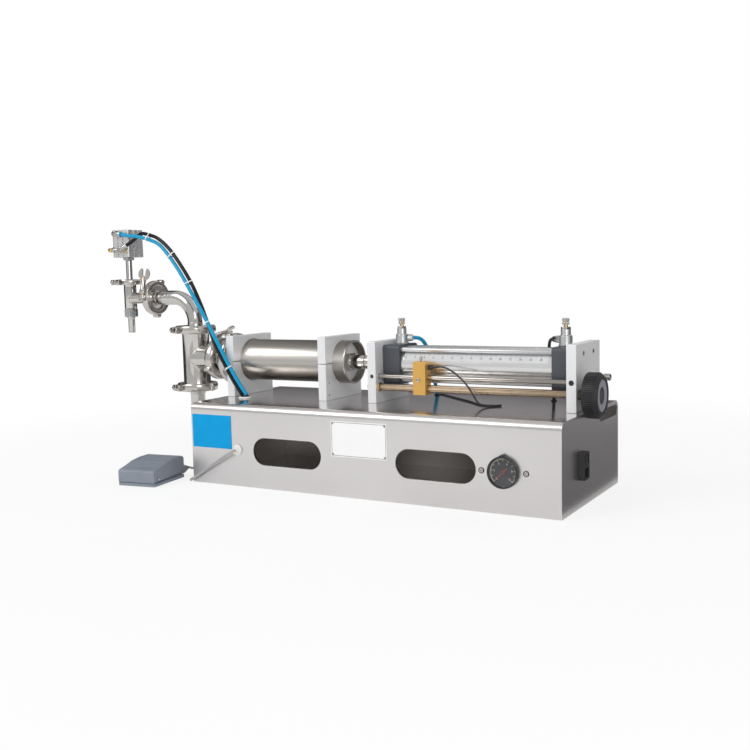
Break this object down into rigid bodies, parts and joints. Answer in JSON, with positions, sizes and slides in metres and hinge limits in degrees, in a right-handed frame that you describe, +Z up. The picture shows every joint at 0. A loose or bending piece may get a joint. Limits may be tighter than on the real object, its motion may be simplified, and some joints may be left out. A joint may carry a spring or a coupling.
{
  "type": "piston liquid filler",
  "caption": "Pneumatic bench piston filler: measuring cylinder and air cylinder in line on a steel base, valve tee, elbow and nozzle at one end, stroke handwheel at the other, foot pedal.",
  "frame": {"origin": "centre of the base box's underside, on the floor", "axes": "+X along the machine from nozzle to handwheel, -Y towards the operator, +Z up"},
  "size_m": [1.163, 0.4113, 0.5225],
  "materials": {
    "stainless": "satin",
    "polished_stainless": "polished",
    "brushed_stainless": "brushed",
    "plate_aluminium": "satin",
    "extruded_aluminium": "satin",
    "cast_aluminium": "matte",
    "gold_anodised": "satin",
    "brass": "satin",
    "black_plastic": "matte",
    "white_plastic": "satin",
    "piston_plastic": "satin",
    "blue_hose": "gloss",
    "black_hose": "gloss",
    "grey_cord": "matte",
    "dark_cord": "matte",
    "pedal_grey": "satin",
    "red_needle": "satin"
  },
  "bodies": {
    "machine": {"base_cover": "stainless", "base_pan": "stainless", "tie_rod_low_front": "stainless", "tie_rod_high_front": "stainless", "tie_rod_low_rear": "stainless", "tie_rod_high_rear": "stainless", "front_flow_valve": "stainless", "rear_flow_valve": "stainless", "guide_rod": "polished_stainless", "cylinder_head": "polished_stainless", "tee_body": "polished_stainless", "inlet_pipe": "polished_stainless", "elbow_pipe": "polished_stainless", "tee_top_clamp": "polished_stainless", "tee_bottom_clamp": "polished_stainless", "branch_clamp": "polished_stainless", "head_clamp": "polished_stainless", "elbow_clamp": "polished_stainless", "nozzle_clamp": "polished_stainless", "nozzle_body": "polished_stainless", "nozzle_tip": "polished_stainless", "nozzle_bridge": "polished_stainless", "product_cylinder": "brushed_stainless", "left_end_plate": "plate_aluminium", "cylinder_plate": "plate_aluminium", "front_rod_plate": "plate_aluminium", "rear_rod_plate": "plate_aluminium", "air_tube": "extruded_aluminium", "nozzle_air_cylinder": "extruded_aluminium", "air_cap_front": "cast_aluminium", "air_cap_rear": "cast_aluminium", "valve_block": "cast_aluminium", "screw_bush": "brass", "gauge_case": "black_plastic", "power_inlet": "black_plastic", "cord_grommet": "white_plastic", "hose_grommet": "white_plastic", "blue_hose": "blue_hose", "front_air_hose": "blue_hose", "black_hose": "black_hose", "pedal_cord": "grey_cord", "pedal_cord_coil": "grey_cord", "sensor_cable": "dark_cord", "pedal_base": "pedal_grey"},
    "piston": {"product_piston": "piston_plastic", "piston_rod": "polished_stainless"},
    "stroke_screw": {"lead_screw": "brass", "handwheel": "black_plastic"},
    "sensor_carriage": {"sensor_block": "gold_anodised", "reed_sensor": "dark_cord"},
    "nozzle_valve": {"nozzle_stem": "polished_stainless"},
    "inlet_valve": {"inlet_check": "piston_plastic"},
    "outlet_valve": {"outlet_check": "piston_plastic"},
    "pointer": {"gauge_needle": "red_needle"},
    "rocker": {"rocker_switch": "black_plastic"},
    "pedal_treadle": {"treadle": "pedal_grey"},
    "front_flow_screw": {"front_flow_knob": "polished_stainless"},
    "rear_flow_screw": {"rear_flow_knob": "polished_stainless"},
    "branch_nut": {"branch_wing_nut": "polished_stainless"},
    "elbow_nut": {"elbow_wing_nut": "polished_stainless"}
  },
  "joints": [
    {"name": "piston_slide", "type": "slide", "parent": "machine", "child": "piston", "axis": [-1, 0, 0], "range_m": [0, 0.225]},
    {"name": "stroke_screw_turn", "type": "hinge", "parent": "machine", "child": "stroke_screw", "pos_m": [0.39, -0.033, 0.191], "axis": [1, 0, 0], "range_deg": [-6750, 22500]},
    {"name": "sensor_carriage_slide", "type": "slide", "parent": "machine", "child": "sensor_carriage", "axis": [1, 0, 0], "range_m": [-0.0751, 0.2501], "deforming": ["sensor_cable"]},
    {"name": "nozzle_valve_slide", "type": "slide", "parent": "machine", "child": "nozzle_valve", "axis": [0, 0, 1], "range_m": [0, 0.01]},
    {"name": "inlet_valve_slide", "type": "slide", "parent": "machine", "child": "inlet_valve", "axis": [0, 0, 1], "range_m": [0, 0.008]},
    {"name": "outlet_valve_slide", "type": "slide", "parent": "machine", "child": "outlet_valve", "axis": [0, 0, 1], "range_m": [0, 0.006]},
    {"name": "pointer_turn", "type": "hinge", "parent": "machine", "child": "pointer", "pos_m": [0.286, -0.1603, 0.072], "axis": [0, 1, 0], "range_deg": [0, 270]},
    {"name": "rocker_tilt", "type": "hinge", "parent": "machine", "child": "rocker", "pos_m": [0.394, -0.065, 0.0865], "axis": [0, 0, 1], "range_deg": [-14, 0]},
    {"name": "treadle_press", "type": "hinge", "parent": "machine", "child": "pedal_treadle", "pos_m": [-0.46471, -0.22963, 0.0135], "axis": [0.9903, 0.1392, 0], "range_deg": [-4, 0], "stiffness_Nm_per_rad": 3, "springref_deg": 11.46},
    {"name": "front_flow_turn", "type": "hinge", "parent": "machine", "child": "front_flow_screw", "pos_m": [0.0005, 0.02, 0.301], "axis": [0, 0, 1], "range_deg": [-720, 720]},
    {"name": "rear_flow_turn", "type": "hinge", "parent": "machine", "child": "rear_flow_screw", "pos_m": [0.3335, 0.02, 0.301], "axis": [0, 0, 1], "range_deg": [-720, 720]},
    {"name": "branch_nut_turn", "type": "hinge", "parent": "machine", "child": "branch_nut", "pos_m": [-0.454, 0.01114, 0.28323], "axis": [0, 0.9848, 0.1736], "range_deg": [0, 1080]},
    {"name": "elbow_nut_turn", "type": "hinge", "parent": "machine", "child": "elbow_nut", "pos_m": [-0.6335, -0.02304, 0.37615], "axis": [0, 0.2079, 0.9781], "range_deg": [0, 1080]}
  ],
  "couplings": [
    {"joint": "sensor_carriage_slide", "follows": "stroke_screw_turn", "m_per_rad": 0.00063662}
  ]
}
